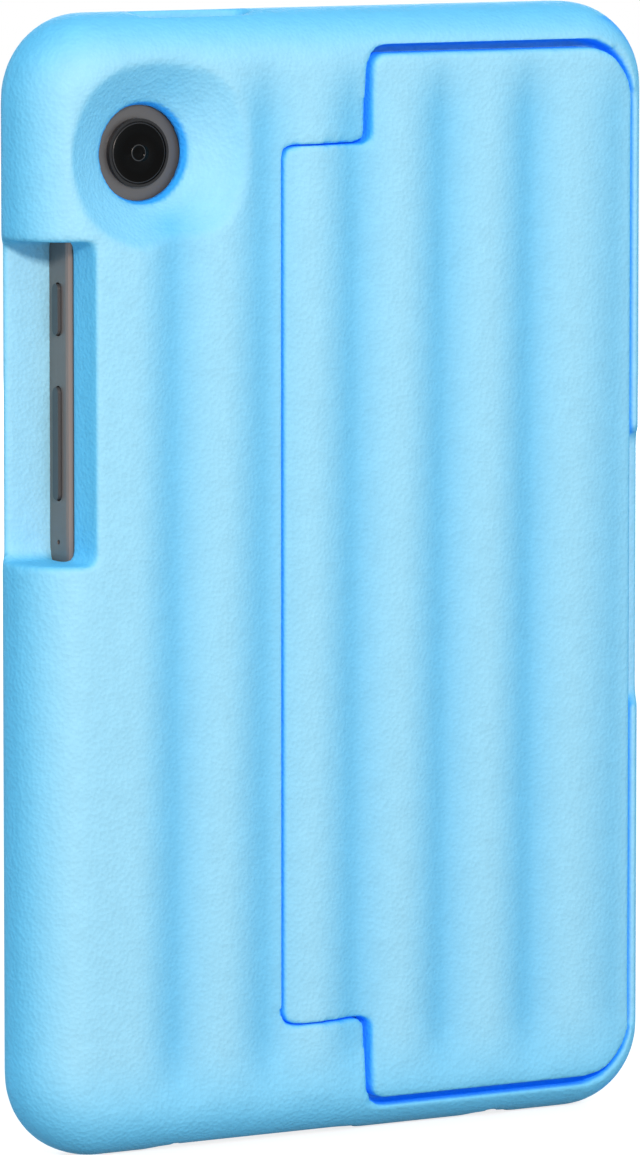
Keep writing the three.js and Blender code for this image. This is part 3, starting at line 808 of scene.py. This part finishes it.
class COVER_OT_stage(bpy.types.Operator):
    """Set up the floor, lamps, world and camera"""
    bl_idname = "cover.stage"
    bl_label = "Stage"

    def execute(self, context):
        make_camera()
        make_floor()
        make_lamps()
        make_world()
        context.scene.view_settings.view_transform = "Standard"
        return {"FINISHED"}


# Stage

CAMERA_TURN = 31.80
CAMERA_RISE = 6.13
CAMERA_DISTANCE = 1756.91
CAMERA_FOCAL = 8486.76
IMAGE_CENTRE = (321.10, 570.12)
IMAGE_SIZE = (640, 1155)
SENSOR = 36.0


def make_camera():
    turn, rise = math.radians(CAMERA_TURN), math.radians(CAMERA_RISE)
    back = Vector((-math.sin(turn) * math.cos(rise), -math.cos(turn) * math.cos(rise), math.sin(rise)))
    data = bpy.data.cameras.new("camera")
    data.sensor_width = SENSOR
    data.lens = CAMERA_FOCAL / IMAGE_SIZE[1] * SENSOR
    data.shift_x = (IMAGE_SIZE[0] / 2 - IMAGE_CENTRE[0]) / IMAGE_SIZE[1]
    data.shift_y = (IMAGE_CENTRE[1] - IMAGE_SIZE[1] / 2) / IMAGE_SIZE[1]
    data.clip_start = 0.01
    data.clip_end = 20.0
    camera = bpy.data.objects.new("camera", data)
    camera.location = place(0, 0, MIDDLE) + back * CAMERA_DISTANCE * MM
    camera.rotation_mode = "QUATERNION"
    camera.rotation_quaternion = (-back).to_track_quat("-Z", "Y")
    bpy.context.scene.collection.objects.link(camera)
    bpy.context.scene.camera = camera


def seen_plainly(tree):
    """1 for rays from the camera, a reflection or clear glass, and 0 for the light that falls."""
    path = tree.nodes.new("ShaderNodeLightPath")
    total = path.outputs["Is Camera Ray"]
    for kind in ("Is Glossy Ray", "Is Transmission Ray"):
        total = calculate(tree, "MAXIMUM", total, path.outputs[kind])
    return total


def white_to_camera(tree, colour, strength):
    """Plain white where it is seen, and the given light otherwise."""
    nodes, links = tree.nodes, tree.links
    mix = nodes.new("ShaderNodeMixShader")
    plain = nodes.new("ShaderNodeBackground")
    socket(plain, "Color", (*colour, 1.0))
    socket(plain, "Strength", strength)
    white = nodes.new("ShaderNodeBackground")
    socket(white, "Color", (1.0, 1.0, 1.0, 1.0))
    socket(white, "Strength", 1.0)
    links.new(seen_plainly(tree), mix.inputs[0])
    links.new(plain.outputs[0], mix.inputs[1])
    links.new(white.outputs[0], mix.inputs[2])
    return mix


def make_world():
    world = bpy.data.worlds.new("studio")
    world.use_nodes = True
    tree = world.node_tree
    tree.nodes.clear()
    output = tree.nodes.new("ShaderNodeOutputWorld")
    mix = white_to_camera(tree, (0.57, 0.98, 1.25), 0.545)
    tree.links.new(mix.outputs[0], output.inputs["Surface"])
    bpy.context.scene.world = world


def make_floor():
    """Pale floor: white to the camera where it is lit, with the cover's soft shadow left on it."""
    bpy.ops.mesh.primitive_plane_add(size=6.0, location=(0, 0, 0))
    floor = bpy.context.object
    floor.name = "floor"
    material, tree, shader = new_material("pale_floor", (0.4, 0.4, 0.4), 0.9)
    links = tree.links
    glow = calculate(tree, "MULTIPLY", seen_plainly(tree), 0.8)
    white = tree.nodes.new("ShaderNodeEmission")
    links.new(glow, white.inputs["Strength"])
    both = tree.nodes.new("ShaderNodeAddShader")
    links.new(shader.outputs[0], both.inputs[0])
    links.new(white.outputs[0], both.inputs[1])
    links.new(both.outputs[0], tree.nodes["Material Output"].inputs["Surface"])
    floor.data.materials.append(material)


def lamp(name, azimuth, elevation, distance, size, power, colour):
    """A square area lamp aimed at the cover. Azimuth 0 is straight behind the padded back."""
    turn, rise = math.radians(azimuth), math.radians(elevation)
    way = Vector((math.sin(turn) * math.cos(rise), -math.cos(turn) * math.cos(rise), math.sin(rise)))
    data = bpy.data.lights.new(name, "AREA")
    data.size = size
    data.energy = power
    data.color = colour
    light = bpy.data.objects.new(name, data)
    light.location = place(0, 0, MIDDLE) + way * distance
    light.rotation_mode = "QUATERNION"
    light.rotation_quaternion = (-way).to_track_quat("-Z", "Y")
    bpy.context.scene.collection.objects.link(light)


def make_lamps():
    lamp("key_lamp", -25, 20, 1.6, 0.16, 17.8, (1.0, 0.83, 0.73))
    lamp("front_lamp", 150, 12, 1.8, 0.8, 13, (1.0, 0.9, 0.82))


class COVER_PT_panel(bpy.types.Panel):
    """Steps that build the cover"""
    bl_label = "Tablet cover"
    bl_idname = "COVER_PT_panel"
    bl_space_type = "VIEW_3D"
    bl_region_type = "UI"
    bl_category = "Tablet Cover"

    def draw(self, context):
        layout = self.layout
        for group in (context.scene.cover_sizes, context.scene.cover_colours):
            for name in group.__annotations__:
                layout.prop(group, name)
        for step in OPERATORS:
            layout.operator(step.bl_idname)


GROUPS = (CoverSizes, CoverColours)
OPERATORS = (COVER_OT_stage, COVER_OT_foam_cover, COVER_OT_stand_flap, COVER_OT_tablet)


def register():
    for group in (*GROUPS, *OPERATORS, COVER_PT_panel):
        bpy.utils.register_class(group)
    bpy.types.Scene.cover_sizes = bpy.props.PointerProperty(type=CoverSizes)
    bpy.types.Scene.cover_colours = bpy.props.PointerProperty(type=CoverColours)


def unregister():
    del bpy.types.Scene.cover_colours
    del bpy.types.Scene.cover_sizes
    for group in reversed((*GROUPS, *OPERATORS, COVER_PT_panel)):
        bpy.utils.unregister_class(group)


def main():
    register()
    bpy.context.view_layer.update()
    bpy.ops.cover.stage()
    bpy.ops.cover.foam_cover()
    bpy.ops.cover.stand_flap()
    bpy.ops.cover.tablet()


if __name__ == "__main__":
    main()
